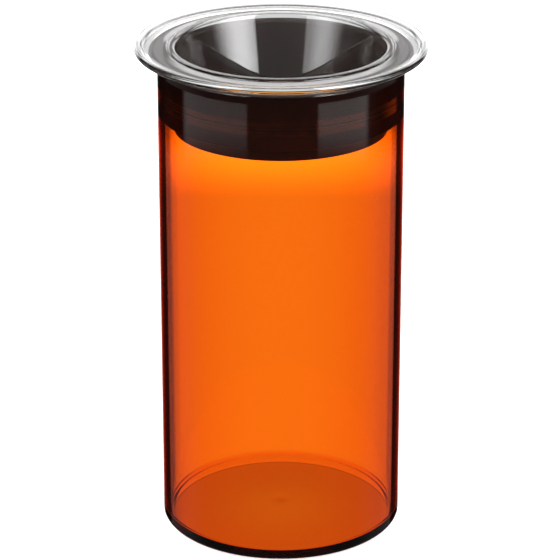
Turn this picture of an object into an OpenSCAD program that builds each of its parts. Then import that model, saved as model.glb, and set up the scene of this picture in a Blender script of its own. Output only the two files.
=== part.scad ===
// Storage jar of amber heat-resistant glass with a clear glass stopper lid.
// The lid hangs in the mouth by its flange. A silicone seal on its bowl grips the jar, and the
// seal's brim lies between the flange and the rim, so that glass never meets glass.
// The axis is Z, and the jar stands on the plane z = 0. Sizes are in millimetres.

/* [Jar] */
// Outside diameter of the jar
jar_d = 92; // [84:1:100]
// Height of the jar's rim above the table
jar_h = 186; // [120:1:260]
// Thickness of the jar's wall
jar_wall = 2.7; // [2.2:0.1:3.4]
// Thickness of the jar's floor at the foot
floor_t = 3; // [2:0.1:5]
// Radius of the heel, where the wall turns under
heel_r = 2; // [1:0.1:3]
// Radius of the inside corner between wall and floor
corner_r = 2; // [1:0.1:3]
// How far the underside is pushed up at its centre
push_up = 1.4; // [0:0.1:2]
// How far the fire-polished rim swells out past the wall
rim_swell = 0.25; // [0.1:0.05:0.5]

/* [Lid] */
// Diameter over the lid's flange
flange_d = 109; // [106:1:120]
// Thickness of the flange between the lip and the bead
flange_t = 2.2; // [1.8:0.1:3]
// Diameter of the bead round the flange
bead_d = 3; // [2.4:0.1:4]
// How far the flange's outer edge is turned up
flange_lift = 1.4; // [0.8:0.1:3]
// Diameter of the bowl inside its lip
mouth_d = 77.6; // [74:0.2:79]
// Depth of the bowl below the flange, outside
bowl_depth = 27; // [20:0.5:40]
// Slope of the bowl's side from the vertical, in degrees
bowl_slope = 17.5; // [10:0.5:20]
// Thickness of the bowl's wall
bowl_wall = 2; // [1.6:0.1:2.4]

/* [Seal] */
// Gap between the sealing band and the jar's bore
seal_gap = 0.1; // [0.05:0.01:0.15]
// Gap between the seal and the bowl that it is stretched over
grip_gap = 0.08; // [0.05:0.01:0.2]
// Height of the sealing band
band_h = 7; // [5:0.5:9]
// Height of the skirt below the sealing band
skirt_h = 5; // [3:0.5:6]
// How far the skirt stands in from the sealing band
skirt_step = 3.5; // [2.5:0.1:4]
// Diameter of the brim that the lid's flange rests on
brim_d = 98.4; // [96:0.2:102]
// Thickness of the brim
brim_t = 1; // [0.8:0.1:1.5]

/* [Hidden] */
jar_r = jar_d / 2;
bore_r = jar_r - jar_wall;
flange_r = flange_d / 2;
bead_r = bead_d / 2;
mouth_r = mouth_d / 2;

// The foot is a flat ring outside this share of the jar's radius
foot_share = 0.78;
// The floor rises by this share of the push-up
floor_rise_share = 0.6;
// Radii of the rim's two rounded edges, and the height of its swelling
rim_out_r = 1.3;
rim_in_r = 1.1;
swell_h = 2.6;

// Heights that the pieces share; the flange's underside is at seat_z, on the seal's brim
rim_z = jar_h;
seat_z = rim_z + brim_t;
bowl_z = seat_z - bowl_depth;
flange_top_z = seat_z + flange_t;
bead_z = seat_z + flange_lift + bead_r;

// The lip stands up round the bowl's mouth
lip_r = 1.8;
lip_z = flange_top_z - 0.5;
// The flange's top is a shallow trough between lip and bead
trough_dip = 0.25;
// The flange stays flat this far past the jar's wall, then turns up
seat_over = 1.5;
// Round where the bowl turns into the flange, underneath
neck_fillet = 1.5;
// Rounds of the bowl's floor, inside and outside, and its dome
bowl_in_r = 6;
bowl_out_r = 8;
bowl_floor_t = 2.6;
bowl_dome = 0.6;

// The seal starts this far below the bowl's floor
seal_below = 1;
seal_z = bowl_z - seal_below;
band_z = seal_z + skirt_h;
band_top_z = band_z + band_h;
band_r = bore_r - seal_gap;
skirt_r = band_r - skirt_step;
// The upper rib stands this far above the band, and in from it
rib_up = 3.1;
rib_in = 0.2;
rib_r = 1.2;
// The collar between rib and brim stands this far in from the band
collar_in = 0.3;
// Small rounds on the seal's edges
band_round = 1.6;
edge_round = 0.5;

$fn = 144;

// Points of an arc about c, from one angle to another
function arc(c, r, from, to, n = 8) =
    [for (i = [0:n]) let(a = from + (to - from) * i / n) c + r * [cos(a), sin(a)]];

// A soft dome from its edge in to the axis
function dome(edge_r, edge_z, rise, n = 12) =
    [for (i = [0:n]) let(t = 1 - i / n) [edge_r * t, edge_z + rise * (1 + cos(180 * t)) / 2]];

function reversed(points) = [for (i = [len(points) - 1:-1:0]) points[i]];

// Radius of the bowl's sloping side at a height, inside (tangent to the lip) and outside
function bowl_inside(z) = mouth_r + lip_r - lip_r / cos(bowl_slope) - (lip_z - z) * tan(bowl_slope);
function bowl_outside(z) = bowl_inside(z) + bowl_wall / cos(bowl_slope);

// Centre of the round under the flange, which the lid and the seal share
function neck_centre() =
    [bowl_outside(seat_z - neck_fillet) + neck_fillet / cos(bowl_slope), seat_z - neck_fillet];

// One glass jar: foot ring, heel, straight wall, fire-polished rim, bore and floor
module jar_body() {
    foot_r = jar_r * foot_share;
    swell_z = rim_z - rim_out_r - swell_h;
    swell = [for (i = [0:6]) [jar_r + rim_swell * (1 - cos(30 * i)) / 2, swell_z + swell_h * i / 6]];
    outside = concat(
        reversed(dome(foot_r, 0, push_up)),
        arc([jar_r - heel_r, heel_r], heel_r, -90, 0),
        swell,
        arc([jar_r + rim_swell - rim_out_r, rim_z - rim_out_r], rim_out_r, 11.25, 90, 7));
    inside = concat(
        arc([bore_r + rim_in_r, rim_z - rim_in_r], rim_in_r, 90, 180),
        arc([bore_r - corner_r, floor_t + corner_r], corner_r, 0, -90),
        dome(foot_r, floor_t, push_up * floor_rise_share));
    color([0.95, 0.42, 0.05, 0.55])
        rotate_extrude()
            polygon(concat(outside, inside));
}

// One piece of clear glass: bowl, lip, troughed flange and bead
module glass_lid() {
    floor_z = bowl_z + bowl_floor_t;
    heel_c = [bowl_outside(bowl_z + bowl_out_r) - bowl_out_r / cos(bowl_slope), bowl_z + bowl_out_r];
    corner_c = [bowl_inside(floor_z + bowl_in_r) - bowl_in_r / cos(bowl_slope), floor_z + bowl_in_r];
    lip_c = [mouth_r + lip_r, lip_z];
    bead_c = [flange_r - bead_r, bead_z];
    trough_from = mouth_r + 2.2 * lip_r;
    trough_to = flange_r - 2.6 * bead_r;
    trough = [for (i = [0:8])
        [trough_to + (trough_from - trough_to) * i / 8, flange_top_z + 0.3 - trough_dip * sin(22.5 * i)]];
    underside = concat(
        reversed(dome(heel_c[0] - 1, bowl_z, bowl_dome)),
        arc(heel_c, bowl_out_r, -90, -bowl_slope),
        arc(neck_centre(), neck_fillet, 180 - bowl_slope, 90),
        [[jar_r + seat_over, seat_z]]);
    top = concat(
        arc(bead_c, bead_r, -120, 150, 18),
        trough,
        arc(lip_c, lip_r, 30, 180 - bowl_slope, 10),
        arc(corner_c, bowl_in_r, -bowl_slope, -90),
        dome(corner_c[0] - 1, floor_z, bowl_dome));
    color([0.86, 0.89, 0.88, 0.45])
        rotate_extrude()
            polygon(concat(underside, top));
}

// One silicone sleeve: skirt, sealing band, rib, collar and brim, tapered inside to the bowl
module lid_seal() {
    brim_c = [brim_d / 2 - brim_t / 2, rim_z + brim_t / 2];
    rib_c = [band_r - rib_in - rib_r, band_top_z + rib_up - rib_r];
    collar_r = band_r - collar_in;
    outside = concat(
        arc([skirt_r - edge_round, seal_z + edge_round], edge_round, -90, 0, 4),
        [[skirt_r, band_z - edge_round]],
        arc([band_r - edge_round, band_z + edge_round], edge_round, -90, 0, 4),
        arc([band_r - band_round, band_top_z - band_round], band_round, 0, 70, 6),
        arc(rib_c, rib_r, -40, 60, 6),
        [[collar_r, rib_c[1] + 2 * rib_r], [collar_r, rim_z]],
        arc(brim_c, brim_t / 2, -90, 90));
    inside = concat(
        [[neck_centre()[0], seat_z]],
        arc(neck_centre(), neck_fillet - grip_gap, 90, 180 - bowl_slope),
        [[bowl_outside(seal_z) + grip_gap, seal_z]]);
    color([0.16, 0.09, 0.07])
        rotate_extrude()
            polygon(concat(outside, inside));
}

jar_body();
glass_lid();
lid_seal();
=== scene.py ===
# %% [markdown]
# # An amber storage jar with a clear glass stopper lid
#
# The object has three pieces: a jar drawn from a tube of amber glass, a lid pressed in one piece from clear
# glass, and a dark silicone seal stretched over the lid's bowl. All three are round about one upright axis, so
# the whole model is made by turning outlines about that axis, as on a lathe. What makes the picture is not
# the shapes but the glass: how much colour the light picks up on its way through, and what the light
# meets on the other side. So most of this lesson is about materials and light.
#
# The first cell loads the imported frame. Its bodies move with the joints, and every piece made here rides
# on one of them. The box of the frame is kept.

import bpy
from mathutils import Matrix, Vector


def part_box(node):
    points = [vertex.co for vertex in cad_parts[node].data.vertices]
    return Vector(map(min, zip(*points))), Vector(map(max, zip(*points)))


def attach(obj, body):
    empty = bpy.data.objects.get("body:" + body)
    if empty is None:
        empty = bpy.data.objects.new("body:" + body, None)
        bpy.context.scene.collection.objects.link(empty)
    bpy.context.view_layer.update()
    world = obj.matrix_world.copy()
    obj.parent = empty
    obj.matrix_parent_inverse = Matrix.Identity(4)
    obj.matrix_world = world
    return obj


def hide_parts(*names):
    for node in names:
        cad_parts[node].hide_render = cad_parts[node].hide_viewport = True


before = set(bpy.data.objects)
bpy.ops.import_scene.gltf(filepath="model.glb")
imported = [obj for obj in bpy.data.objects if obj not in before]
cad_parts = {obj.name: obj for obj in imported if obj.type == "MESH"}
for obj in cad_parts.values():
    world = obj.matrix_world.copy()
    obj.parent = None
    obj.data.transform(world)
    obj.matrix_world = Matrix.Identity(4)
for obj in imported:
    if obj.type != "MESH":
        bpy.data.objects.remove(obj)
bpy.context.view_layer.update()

# %% Imports and units
import math

import bpy
from mathutils import Vector

MM = 0.001
scene = bpy.context.scene

# %% [markdown]
# ## Sizes
#
# The heights and radii that the pieces share are read from the frame's boxes, so the glass made here always
# fits the frame. The few that no box can tell, such as how thick the wall is, are named here once.

# %% Sizes from the frame
jar_low, jar_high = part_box("jar_body")
lid_low, lid_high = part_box("glass_lid")
seal_low, seal_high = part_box("lid_seal")

RIM_Z = jar_high.z
RIM_R = (jar_high.x - jar_low.x) / 2
FLANGE_R = (lid_high.x - lid_low.x) / 2
SEAT_Z = seal_high.z
LID_TOP_Z = lid_high.z
BOWL_Z = lid_low.z
SEAL_Z = seal_low.z
BRIM_R = (seal_high.x - seal_low.x) / 2
print(f"rim {RIM_Z:.4f} high and {RIM_R:.4f} in radius, flange {FLANGE_R:.4f}, brim {BRIM_R:.4f}")

# %% Sizes that only this script needs
RIM_SWELL = 0.25 * MM
JAR_R = RIM_R - RIM_SWELL
WALL = 2.7 * MM
BORE_R = JAR_R - WALL
HUG = 0.02 * MM
BAND_R = BORE_R + HUG
FLOOR_T = 3 * MM
HEEL_R = 2 * MM
PUSH_UP = 1.4 * MM
FOOT_R = 0.78 * JAR_R
NUB, NUB_R = 0.35 * MM, 3 * MM
SLOPE = math.radians(17.5)
BOWL_WALL = 2 * MM
BEAD_R = 1.5 * MM
LIP_R = 1.8 * MM
FLANGE_T = 2.2 * MM

# %% [markdown]
# ## Turning an outline
#
# An outline is a list of points (radius, height) that starts and ends on the axis, or closes on itself for
# a ring. Blender has a Screw modifier and a spin operator for this, but both leave doubled points on the
# axis. Building the rings by hand gives a closed skin with one point at each pole, which glass needs: a ray
# that slips through a crack would lose count of whether it is inside the glass.

# %% Arcs and soft domes for outlines
def arc(cx, cz, r, start, end, steps=16):
    """Points of an arc about (cx, cz), with its angles in degrees."""
    angles = [math.radians(start + (end - start) * i / steps) for i in range(steps + 1)]
    return [(cx + r * math.cos(a), cz + r * math.sin(a)) for a in angles]


def dome(edge_r, edge_z, rise, steps=40):
    """A soft dome from its edge in to the axis."""
    shares = [1 - i / steps for i in range(steps + 1)]
    return [(edge_r * t, edge_z + rise * (1 + math.cos(math.pi * t)) / 2) for t in shares]


def line(start, end, steps):
    """Points between two ends, without the ends."""
    shares = [i / steps for i in range(1, steps)]
    return [(start[0] + (end[0] - start[0]) * t, start[1] + (end[1] - start[1]) * t) for t in shares]


# %% Turn an outline about the axis
def turn(name, outline, segments=288):
    """A closed smooth mesh made by turning (radius, height) points about Z."""
    verts, rings = [], []
    for r, z in outline:
        if r < 1e-7:
            rings.append([len(verts)] * segments)
            verts.append((0, 0, z))
            continue
        rings.append(list(range(len(verts), len(verts) + segments)))
        for k in range(segments):
            a = math.tau * k / segments
            verts.append((r * math.cos(a), r * math.sin(a), z))
    on_axis = outline[0][0] < 1e-7
    pairs = list(zip(rings, rings[1:] if on_axis else rings[1:] + rings[:1]))
    faces = []
    for low, high in pairs:
        for k in range(segments):
            n = (k + 1) % segments
            corners = [low[k], low[n], high[n], high[k]]
            face = [c for i, c in enumerate(corners) if c not in corners[:i]]
            faces.append(face)
    mesh = bpy.data.meshes.new(name)
    mesh.from_pydata(verts, [], faces)
    mesh.validate()
    mesh.update()
    for poly in mesh.polygons:
        poly.use_smooth = True
    piece = bpy.data.objects.new(name, mesh)
    scene.collection.objects.link(piece)
    print(f"{name}: {len(outline)} outline points, {len(mesh.polygons)} faces")
    return piece


# %% [markdown]
# ## The jar
#
# A tube of amber glass is closed at one end in the flame. That leaves a flat foot ring with the floor
# pushed up a little inside it, a rounded heel, a rounded corner inside, and a rim melted smooth, which
# swells out by a quarter of a millimetre. That swelling is small, but it bends the reflections into the
# bright line just under the lid.

# %% Outline of the jar
def jar_outline():
    rim_out, rim_in, corner = 1.3 * MM, 1.1 * MM, 2 * MM
    swell_h = 2.6 * MM
    swell_z = RIM_Z - rim_out - swell_h
    shares = [i / 24 for i in range(24)]
    swell = [(JAR_R + RIM_SWELL * (1 - math.cos(math.pi * t)) / 2, swell_z + swell_h * t) for t in shares]
    outside = [
        *reversed(dome(FOOT_R, 0, PUSH_UP)),
        *line((FOOT_R, 0), (JAR_R - HEEL_R, 0), 6),
        *arc(JAR_R - HEEL_R, HEEL_R, HEEL_R, -90, 0),
        *line((JAR_R, HEEL_R), (JAR_R, swell_z), 40),
        *swell,
        *arc(RIM_R - rim_out, RIM_Z - rim_out, rim_out, 0, 90, 20),
    ]
    inside = [
        *arc(BORE_R + rim_in, RIM_Z - rim_in, rim_in, 90, 180, 20),
        *line((BORE_R, RIM_Z - rim_in), (BORE_R, FLOOR_T + corner), 40),
        *arc(BORE_R - corner, FLOOR_T + corner, corner, 0, -90),
        *line((BORE_R - corner, FLOOR_T), (FOOT_R, FLOOR_T), 6),
        *[(r, z + NUB * math.exp(-(r / NUB_R) ** 2)) for r, z in dome(FOOT_R, FLOOR_T, PUSH_UP * 0.6)],
    ]
    return outside + inside


jar = turn("jar", jar_outline())

# %% [markdown]
# ## The lid
#
# The lid is one pressing of clear glass. A cone-sided bowl hangs in the jar's mouth, a rounded lip stands
# up round it, and from the lip a flange with a shallow trough runs out over the rim to a round bead. The
# slope of the bowl's side matters to the eye: it throws the lamps on either side back up past the near
# edge, and so paints the two tall streaks inside the bowl.

# %% Outline of the lid
def slant(z):
    """Radius of the bowl's inside at a height, on the line that touches the lip."""
    top = lip_centre[0] - LIP_R / math.cos(SLOPE)
    return top - (lip_centre[1] - z) * math.tan(SLOPE)


lip_centre = (40.6 * MM, SEAT_Z + FLANGE_T - 0.5 * MM)


def lid_outline():
    top_z = SEAT_Z + FLANGE_T
    lean = math.degrees(SLOPE)
    secant = 1 / math.cos(SLOPE)
    wall = BOWL_WALL * secant
    floor_z = BOWL_Z + 2.6 * MM
    heel, corner, neck = 8 * MM, 6 * MM, 1.5 * MM
    heel_x = slant(BOWL_Z + heel) + wall - heel * secant
    corner_x = slant(floor_z + corner) - corner * secant
    neck_x = slant(SEAT_Z - neck) + wall + neck * secant
    bead_x, bead_z = FLANGE_R - BEAD_R, LID_TOP_Z - BEAD_R
    seat_r = JAR_R + 1.5 * MM
    trough_in, trough_out = lip_centre[0] + 2.16 * MM, FLANGE_R - 3.9 * MM
    bead_foot = arc(bead_x, bead_z, BEAD_R, -120, 150, 48)
    shares = [i / 40 for i in range(41)]
    trough = [(trough_out + (trough_in - trough_out) * t, top_z + (0.3 - 0.25 * math.sin(math.pi * t)) * MM)
              for t in shares]
    under = [
        *reversed(dome(heel_x - 1 * MM, BOWL_Z, 0.6 * MM)),
        *arc(heel_x, BOWL_Z + heel, heel, -90, -lean, 24),
        *arc(neck_x, SEAT_Z - neck, neck, 180 - lean, 90, 16),
        *line((neck_x, SEAT_Z), (seat_r, SEAT_Z), 8),
        (seat_r, SEAT_Z),
    ]
    over = [
        *bead_foot,
        *trough,
        *arc(*lip_centre, LIP_R, 30, 180 - lean, 36),
        *arc(corner_x, floor_z + corner, corner, -lean, -90, 24),
        *dome(corner_x - 1 * MM, floor_z, 0.6 * MM),
    ]
    return under + over


lid = turn("lid", lid_outline())

# %% [markdown]
# ## The seal
#
# The seal is a moulded sleeve. From below it has a skirt that finds the mouth, a thick band that presses on
# the glass, a small rib above the band, and a collar with a thin brim on top. The brim lies between the
# jar's rim and the flange, so glass never rests on glass. Soft silicone wets the glass it is pressed on and
# leaves no air between them, so the sleeve is drawn a hair's breadth into the bore and the bowl. A gap
# would be nearer to the frame's own solids, but then the glass would mirror light where the seal holds it.

# %% Outline of the seal
def seal_outline():
    secant = 1 / math.cos(SLOPE)
    lean = math.degrees(SLOPE)
    neck = 1.5 * MM
    grip = BOWL_WALL * secant - HUG
    skirt_r, band_z = BAND_R - 3.5 * MM, SEAL_Z + 5 * MM
    band_top, edge, shoulder, rib = band_z + 7 * MM, 0.5 * MM, 1.6 * MM, 1.2 * MM
    rib_x, rib_z = BAND_R - rib, band_top + 3.1 * MM - rib
    brim_r, brim_t = BRIM_R, 0.93 * MM
    top_z = SEAT_Z + HUG
    neck_x = slant(SEAT_Z - neck) + BOWL_WALL * secant + neck * secant
    outside = [
        *arc(skirt_r - edge, SEAL_Z + edge, edge, -90, 0, 10),
        *arc(skirt_r + edge, band_z - edge, edge, 180, 98, 8),
        *arc(BAND_R - edge, band_z + edge, edge, -82, 0, 10),
        *line((BAND_R, band_z + edge), (BAND_R, band_top - shoulder), 8),
        *arc(BAND_R - shoulder, band_top - shoulder, shoulder, 0, 70, 18),
        *arc(rib_x, rib_z, rib, -40, 60, 18),
        (BAND_R, rib_z + 2 * rib),
        *line((BAND_R, rib_z + 2 * rib), (BAND_R, RIM_Z), 8),
        (BAND_R, RIM_Z),
        *line((BAND_R, RIM_Z), (brim_r - brim_t / 2, RIM_Z), 8),
        *arc(brim_r - brim_t / 2, RIM_Z + brim_t / 2, brim_t / 2, -90, 90, 12),
        (43.6 * MM, RIM_Z + brim_t),
        (43.5 * MM, top_z),
    ]
    inside = [
        *arc(neck_x, SEAT_Z - neck, neck + HUG, 90, 180 - lean, 16),
        *line((slant(SEAT_Z - neck) + grip, SEAT_Z - neck), (slant(SEAL_Z) + grip, SEAL_Z), 20),
        (slant(SEAL_Z) + grip, SEAL_Z),
    ]
    return outside + inside


seal = turn("seal", seal_outline())

# %% [markdown]
# ## Node helpers
#
# Two short helpers keep the material cells readable: one adds a node and fills its inputs, and the other
# makes a node group with named inputs and outputs, so that an effect is built once and used in every
# material that needs it.

# %% Helpers for nodes
def add_node(tree, kind, inputs=None, **settings):
    node = tree.nodes.new(kind)
    for key, value in settings.items():
        setattr(node, key, value)
    for key, value in (inputs or {}).items():
        if isinstance(value, bpy.types.NodeSocket):
            tree.links.new(value, node.inputs[key])
        else:
            node.inputs[key].default_value = value
    return node


def new_group(name, inputs, outputs):
    group = bpy.data.node_groups.new(name, "ShaderNodeTree")
    for label, kind, value in inputs:
        socket = group.interface.new_socket(label, in_out="INPUT", socket_type=kind)
        if value is not None:
            socket.default_value = value
    for label, kind in outputs:
        group.interface.new_socket(label, in_out="OUTPUT", socket_type=kind)
    ends = add_node(group, "NodeGroupInput"), add_node(group, "NodeGroupOutput")
    return group, ends[0].outputs, ends[1].inputs


def new_material(name):
    material = bpy.data.materials.new(name)
    material.use_nodes = True
    tree = material.node_tree
    tree.nodes.clear()
    output = add_node(tree, "ShaderNodeOutputMaterial")
    return material, tree, output


# %% [markdown]
# ## What hands and shelves leave on glass
#
# Clean glass is never quite perfect. Forming leaves a slow waviness that makes reflections swim, and handling
# leaves a faint film, here and there, that softens them. One group gives both: a height for a Bump node,
# and a film mask that the materials turn into roughness.

# %% Group: waviness and handling film
def make_glass_surface():
    group, given, made = new_group(
        "glass surface",
        [("Wave Scale", "NodeSocketFloat", 20.0), ("Film Scale", "NodeSocketFloat", 60.0),
         ("Film Amount", "NodeSocketFloat", 0.03), ("Clean Roughness", "NodeSocketFloat", 0.0)],
        [("Height", "NodeSocketFloat"), ("Roughness", "NodeSocketFloat")])
    place = add_node(group, "ShaderNodeTexCoord").outputs["Object"]
    wave = add_node(group, "ShaderNodeTexNoise", {"Vector": place, "Scale": given["Wave Scale"], "Detail": 1.0})
    group.links.new(wave.outputs["Fac"], made["Height"])
    film = add_node(group, "ShaderNodeTexNoise", {"Vector": place, "Scale": given["Film Scale"], "Detail": 4.0})
    patch = add_node(group, "ShaderNodeMapRange",
                     {"Value": film.outputs["Fac"], "From Min": 0.52, "From Max": 0.72},
                     interpolation_type="SMOOTHSTEP")
    spread = add_node(group, "ShaderNodeMath",
                      {0: patch.outputs["Result"], 1: given["Film Amount"], 2: given["Clean Roughness"]},
                      operation="MULTIPLY_ADD")
    group.links.new(spread.outputs[0], made["Roughness"])
    return group


glass_surface = make_glass_surface()

# %% [markdown]
# ## Amber glass
#
# Coloured glass is coloured all the way through, so the colour belongs in the volume and not on the
# surface. Volume Absorption removes light for each millimetre travelled: 5 mm of wall, near and far, leaves
# orange, and the 90 mm that light runs inside the floor leaves nothing, which is why the foot of
# the jar looks black.

# %% Amber glass
def make_amber_glass():
    material, tree, output = make_glass("amber_glass", film=0.04, wave=0.02 * MM)
    absorb = add_node(tree, "ShaderNodeVolumeAbsorption",
                      {"Color": (0.961, 0.68, 0.0, 1), "Density": 1150.0})
    tree.links.new(absorb.outputs[0], output.inputs["Volume"])
    return material


def make_glass(name, film, wave):
    material, tree, output = new_material(name)
    surface = add_node(tree, "ShaderNodeGroup", node_tree=glass_surface)
    surface.inputs["Film Amount"].default_value = film
    bump = add_node(tree, "ShaderNodeBump",
                    {"Height": surface.outputs["Height"], "Distance": wave, "Strength": 1.0})
    shader = add_node(tree, "ShaderNodeBsdfPrincipled",
                      {"Base Color": (1, 1, 1, 1), "Transmission Weight": 1.0, "IOR": 1.47,
                       "Roughness": surface.outputs["Roughness"], "Normal": bump.outputs[0]})
    tree.links.new(shader.outputs[0], output.inputs["Surface"])
    return material, tree, output


amber_glass = make_amber_glass()

# %% [markdown]
# ## Clear glass
#
# Clear glass still has a faint green from iron, seen only where light travels far inside it, such as along
# the flange. The same volume absorption as the amber does it, two hundred times weaker.

# %% Clear glass
def make_clear_glass():
    material, tree, output = make_glass("clear_glass", film=0.05, wave=0.03 * MM)
    absorb = add_node(tree, "ShaderNodeVolumeAbsorption",
                      {"Color": (0.55, 0.72, 0.6, 1), "Density": 5.0})
    tree.links.new(absorb.outputs[0], output.inputs["Volume"])
    return material


clear_glass = make_clear_glass()
print("glass:", amber_glass.name, "and", clear_glass.name)

# %% [markdown]
# ## Silicone skin
#
# A moulded silicone part copies its mould: a fine matt grain everywhere, and where hands and soap have been,
# cloudy patches that are a little paler and a little smoother. One group makes the grain, the patches and
# the roughness, so the material only has to say how strong each one is.

# %% Group: moulded grain and cloudy patches
def make_silicone_skin():
    group, given, made = new_group(
        "silicone skin",
        [("Grain Scale", "NodeSocketFloat", 900.0), ("Patch Scale", "NodeSocketFloat", 45.0),
         ("Matt Roughness", "NodeSocketFloat", 0.52), ("Patch Change", "NodeSocketFloat", -0.1),
         ("Dark", "NodeSocketColor", (0.02, 0.0115, 0.009, 1)),
         ("Pale", "NodeSocketColor", (0.027, 0.017, 0.014, 1))],
        [("Height", "NodeSocketFloat"), ("Roughness", "NodeSocketFloat"), ("Color", "NodeSocketColor")])
    place = add_node(group, "ShaderNodeTexCoord").outputs["Object"]
    grain = add_node(group, "ShaderNodeTexNoise",
                     {"Vector": place, "Scale": given["Grain Scale"], "Detail": 3.0})
    group.links.new(grain.outputs["Fac"], made["Height"])
    cloud = add_node(group, "ShaderNodeTexNoise",
                     {"Vector": place, "Scale": given["Patch Scale"], "Detail": 5.0})
    patch = add_node(group, "ShaderNodeMapRange",
                     {"Value": cloud.outputs["Fac"], "From Min": 0.45, "From Max": 0.7},
                     interpolation_type="SMOOTHSTEP")
    rough = add_node(group, "ShaderNodeMath",
                     {0: patch.outputs["Result"], 1: given["Patch Change"], 2: given["Matt Roughness"]},
                     operation="MULTIPLY_ADD")
    group.links.new(rough.outputs[0], made["Roughness"])
    tint = add_node(group, "ShaderNodeMix", data_type="RGBA")
    group.links.new(patch.outputs["Result"], tint.inputs[0])
    group.links.new(given["Dark"], tint.inputs[6])
    group.links.new(given["Pale"], tint.inputs[7])
    group.links.new(tint.outputs[2], made["Color"])
    return group


silicone_skin = make_silicone_skin()
print("group:", silicone_skin.name)

# %% [markdown]
# ## Silicone
#
# The real sleeve is soft and opaque, so the light never goes far in: a plain dark surface with a weak, wide
# highlight is enough, and costs far less than scattering inside the volume. A clear silicone would need
# transmission and scattering instead.

# %% Silicone
def make_silicone():
    material, tree, output = new_material("silicone")
    skin = add_node(tree, "ShaderNodeGroup", node_tree=silicone_skin)
    bump = add_node(tree, "ShaderNodeBump",
                    {"Height": skin.outputs["Height"], "Distance": 0.02 * MM, "Strength": 0.6})
    shader = add_node(tree, "ShaderNodeBsdfPrincipled",
                      {"Base Color": skin.outputs["Color"], "Roughness": skin.outputs["Roughness"], "IOR": 1.41,
                       "Specular IOR Level": 0.3, "Normal": bump.outputs[0]})
    tree.links.new(shader.outputs[0], output.inputs["Surface"])
    return material


silicone = make_silicone()
print("material:", silicone.name)

# %% [markdown]
# ## Dressing
#
# Each row gives a piece, its material, the body that carries it, the part of the frame it stands in for, and
# the name of the slot its finish belongs to. Each piece gets its material and rides on its body, and the part
# of the frame is hidden. The lid rides on its own body, so it can come out of the seal.

# %% Dress the pieces and seat them on their bodies
DRESS = [
    (jar, amber_glass, "jar", "jar_body", "amber_glass"),
    (lid, clear_glass, "lid", "glass_lid", "clear_glass"),
    (seal, silicone, "seal", "lid_seal", "silicone"),
]
for piece, material, body, node, slot in DRESS:
    piece.data.materials.append(material)
    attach(piece, body)
    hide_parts(node)
    print(piece.name, "rides on", body)

# %% [markdown]
# ## Studio
#
# Glass has almost no look of its own: it shows what stands round it. A product studio surrounds it with white
# walls, black flags and softboxes, and the same things are drawn here as brightness by direction, in degrees
# up and round. They could be lamps and cards, but a world seen from every direction is quieter to render.

# %% Studio: directions
world = bpy.data.worlds.new("studio")
scene.world = world
world.use_nodes = True
sky = world.node_tree
sky.nodes.clear()


def value_of(thing):
    return thing.outputs[0] if isinstance(thing, bpy.types.Node) else thing


def calc(operation, a, b=None, c=None):
    inputs = {i: value_of(v) for i, v in enumerate((a, b, c)) if v is not None}
    return add_node(sky, "ShaderNodeMath", inputs, operation=operation)


def ramp(x, start, end, low=0.0, high=1.0):
    """A soft step from low to high as x goes from start to end."""
    return add_node(sky, "ShaderNodeMapRange",
                    {"Value": value_of(x), "From Min": start, "From Max": end, "To Min": low, "To Max": high},
                    interpolation_type="SMOOTHSTEP")


def window(x, a, b, c, d):
    """Rises from a to b and falls from c to d."""
    return calc("MULTIPLY", ramp(x, a, b), ramp(x, c, d, 1.0, 0.0))


def blend(low, high, share):
    """Low where share is 0, high where it is 1."""
    return calc("MULTIPLY_ADD", calc("SUBTRACT", high, low), share, low)


direction = add_node(sky, "ShaderNodeTexCoord").outputs["Generated"]
looking = add_node(sky, "ShaderNodeSeparateXYZ", {"Vector": direction})
to_x, to_y, to_z = looking.outputs
elevation = calc("MULTIPLY", calc("ARCSINE", to_z), 180 / math.pi)
from_back = calc("MULTIPLY", calc("ABSOLUTE", calc("ARCTAN2", to_x, to_y)), 180 / math.pi)
from_front = calc("SUBTRACT", 180.0, from_back)
on_right = calc("GREATER_THAN", to_x, 0.0)
print("directions ready:", len(sky.nodes), "nodes")

# %% [markdown]
# ## What is seen through the glass
#
# A white wall stands behind, and a black flag on each side of it gives clear glass its dark edges. The wide
# flags are for light that has bounced inside the wall, the slim ones for light that comes straight through,
# so that the jar stays bright when it is looked at from another side. Past the wide flags little light is
# left on the left and more on the right, which makes the jar's left edge the darker of the two.

# %% Studio: what is seen through the glass
SLOT_EDGE = (12.5, 17.5)
WIDE_EDGE, WIDE_DARK = (36.0, 44.0), 0.02
SLIM_EDGE, SLIM_DARK = (23.0, 28.0), 0.06
PAST_LEFT, PAST_RIGHT = 0.08, 0.8
outer_light = calc("MULTIPLY", ramp(from_back, *WIDE_EDGE), blend(PAST_LEFT, PAST_RIGHT, on_right))
wide_flags = calc("MAXIMUM", ramp(from_back, *SLOT_EDGE, 1.0, WIDE_DARK), outer_light)
past_slim = ramp(from_back, *SLIM_EDGE, SLIM_DARK, 1.0)
slim_flags = calc("MAXIMUM", ramp(from_back, *SLOT_EDGE, 1.0, SLIM_DARK), past_slim)
glow = calc("MULTIPLY_ADD", window(elevation, -20.7, -19.8, -19.6, -19.0), 1.1, 1.0)
slot_light = calc("MULTIPLY", glow, ramp(elevation, -19.8, -18.8, 1.72, 0.85))
far_light = blend(1.25, slot_light, ramp(from_back, 17.5, 23.0, 1.0, 0.0))
through = calc("MULTIPLY", slim_flags, far_light)
through_bounced = calc("MULTIPLY", wide_flags, slot_light)
print("seen through the glass:", len(sky.nodes), "nodes so far")

# %% [markdown]
# ## What is mirrored in the glass
#
# Two tall softboxes stand in front, left and right. Low down they make the grey strips on the jar's side, and
# high up, where they are much brighter, the streaks in the bowl. A bright panel over the back wall lights
# the crests of the lip and the bead.

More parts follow.
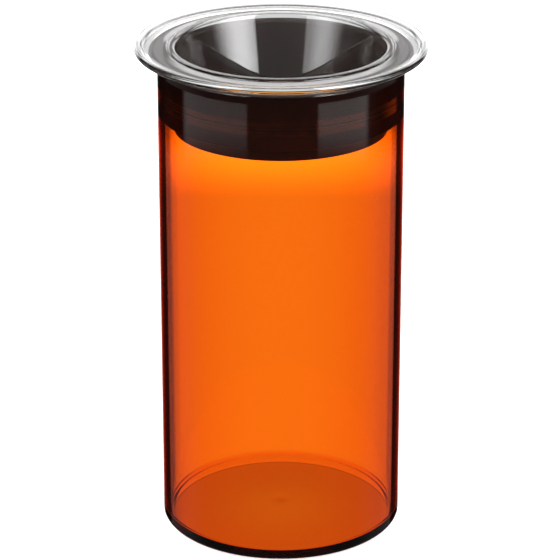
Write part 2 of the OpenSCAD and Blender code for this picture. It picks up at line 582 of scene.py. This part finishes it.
# %% Studio: what is mirrored in the glass
low_edge = ramp(elevation, -20.1, -19.2)
rise = ramp(elevation, -10, 8)
left_low = window(from_front, 30, 33, 98, 105)
right_low = window(from_front, 33, 36, 84, 91)
right_high = calc("MULTIPLY", window(from_front, 28, 32, 50, 86), ramp(from_front, 30, 46, 0.6, 1.0))
left_high = calc("MULTIPLY", window(from_front, 27, 31, 50, 78), ramp(from_front, 31, 50, 0.45, 1.0))
LEFT_LOW, LEFT_HIGH = 0.82, 11.0
RIGHT_LOW, RIGHT_HIGH = 1.2, 21.0
left_light = blend(calc("MULTIPLY", left_low, LEFT_LOW), calc("MULTIPLY", left_high, LEFT_HIGH), rise)
right_light = blend(calc("MULTIPLY", right_low, RIGHT_LOW), calc("MULTIPLY", right_high, RIGHT_HIGH), rise)
boxes = calc("MULTIPLY", blend(left_light, right_light, on_right), low_edge)
box_top = ramp(elevation, 50, 62, 1.0, 0.0)
sides = calc("MULTIPLY", window(from_front, 78, 104, 134, 139), ramp(elevation, -20.0, -19.4, 0.16, 0.01))
low_drop = ramp(from_back, *SLOT_EDGE, 1.0, 0.0)
high_drop = calc("MULTIPLY", ramp(from_back, 30, 45, 3.0, 0.0), window(elevation, -17, -14, 14.5, 16.5))
backdrop = calc("MAXIMUM", low_drop, high_drop)
top_light = calc("MULTIPLY", window(elevation, 19.5, 25, 60, 75), 4.0)
high_wall = calc("ADD", ramp(elevation, 14.5, 16.5, 0.0, 1.05), top_light)
back_wall = calc("MULTIPLY", ramp(from_back, 40, 60, 1.0, 0.0), high_wall)
fill = calc("MULTIPLY", ramp(from_front, 80, 110, 1.0, 0.0), blend(0.1, 0.45, rise))
rest = calc("MAXIMUM", calc("MAXIMUM", sides, backdrop), back_wall)
mirrored = calc("ADD", calc("MULTIPLY", boxes, box_top), calc("ADD", rest, calc("ADD", fill, 0.01)))
print("mirrored in the glass:", len(sky.nodes), "nodes so far")

# %% [markdown]
# ## Joining them by the kind of ray
#
# Light that came through the glass sees the wall and flags, light that was mirrored sees the softboxes, and
# light scattered by the silicone or the floor gets an even glow. The camera itself sees plain white.

# %% Studio: join them by the kind of ray
path = add_node(sky, "ShaderNodeLightPath")
passed = path.outputs["Is Transmission Ray"]
bounced = calc("GREATER_THAN", path.outputs["Glossy Depth"], 0.5)
scattered = calc("GREATER_THAN", path.outputs["Diffuse Depth"], 0.5)
behind = ramp(from_back, 50, 70, 1.0, 0.0)
level = window(elevation, -28, -25, -16, -13)
inner = blend(blend(0.9, mirrored, level), through_bounced, behind)
seen = blend(mirrored, blend(through, inner, bounced), passed)
ambient = ramp(elevation, 25, 50, 0.55, 10.0)
total = blend(blend(seen, ambient, scattered), 1.0, path.outputs["Is Camera Ray"])
light = add_node(sky, "ShaderNodeBackground", {"Strength": value_of(total)})
add_node(sky, "ShaderNodeOutputWorld", {"Surface": light.outputs[0]})
world.cycles.sampling_method = "NONE"
print("studio:", len(sky.nodes), "nodes")

# %% [markdown]
# ## Floor
#
# The jar stands on a white sweep that glows a little, as paper lit from all round does. Two small glowing discs
# under the foot are a painted shadow: a dimmer disc for the shade on the paper under the jar, set a little
# towards the front, and a darker painted ring round its edge. The thick glass of the floor sees them; nothing
# else does.

# %% Floor
def disc(name, radius, z, strength, diffuse):
    bpy.ops.mesh.primitive_circle_add(vertices=128, radius=radius, fill_type="NGON", location=(0, 0, z))
    plate = bpy.context.object
    plate.name = name
    material, tree, output = new_material(name)
    glow = add_node(tree, "ShaderNodeEmission", {"Color": (1, 1, 1, 1), "Strength": strength})
    matt = add_node(tree, "ShaderNodeBsdfDiffuse", {"Color": (diffuse, diffuse, diffuse, 1)})
    both = add_node(tree, "ShaderNodeAddShader", {0: glow.outputs[0], 1: matt.outputs[0]})
    tree.links.new(both.outputs[0], output.inputs["Surface"])
    plate.data.materials.append(material)
    return plate


floor = disc("floor", 6.0, -0.0005, 0.75, 0.35)
floor.visible_glossy = False
floor.visible_transmission = False
# Painted shadow: the dimmer disc is the shade the jar casts on the paper under its foot, set towards the front,
# and the ring is a darker painted edge round that shade.
painted_shadow_disc = disc("painted_shadow_disc", 0.042, -0.0003, 0.87, 0.0)
painted_shadow_rim = disc("painted_shadow_rim", 0.0426, -0.0004, 0.4, 0.0)
for plate in (painted_shadow_disc, painted_shadow_rim):
    plate.location.y = -4.5 * MM
    plate.visible_camera = False
    plate.visible_glossy = False
    plate.visible_diffuse = False
print("floor:", [thing.name for thing in (floor, painted_shadow_disc, painted_shadow_rim)])

# %% [markdown]
# ## Camera
#
# A long lens a little over a metre away, looking down gently: it keeps the sides of the jar nearly parallel,
# as in a catalogue view, and still shows into the bowl.

# %% Camera
TILT = math.radians(22.25)
DISTANCE = 1125.8 * MM
AIM = Vector((-0.37 * MM, 0, 96.23 * MM))
LENS = 189.84
camera_data = bpy.data.cameras.new("camera")
camera_data.sensor_width = 36
camera_data.lens = LENS
camera_data.clip_start = 0.05
camera = bpy.data.objects.new("camera", camera_data)
scene.collection.objects.link(camera)
camera.location = AIM + DISTANCE * Vector((0, -math.cos(TILT), math.sin(TILT)))
camera.rotation_euler = (math.radians(90) - TILT, 0, 0)
scene.camera = camera
print("camera at", [round(x, 4) for x in camera.location])

# %% [markdown]
# ## Light paths
#
# Light crosses many glass faces here: two walls, the lid and the foot. With too few bounces the crossings
# that are left out turn black, so the limits are raised well past the usual ones.

# %% Light paths and colour
scene.cycles.max_bounces = 32
scene.cycles.transmission_bounces = 32
scene.cycles.glossy_bounces = 16
scene.cycles.use_denoising = True
scene.view_settings.view_transform = "Standard"
print("bounces:", scene.cycles.max_bounces)
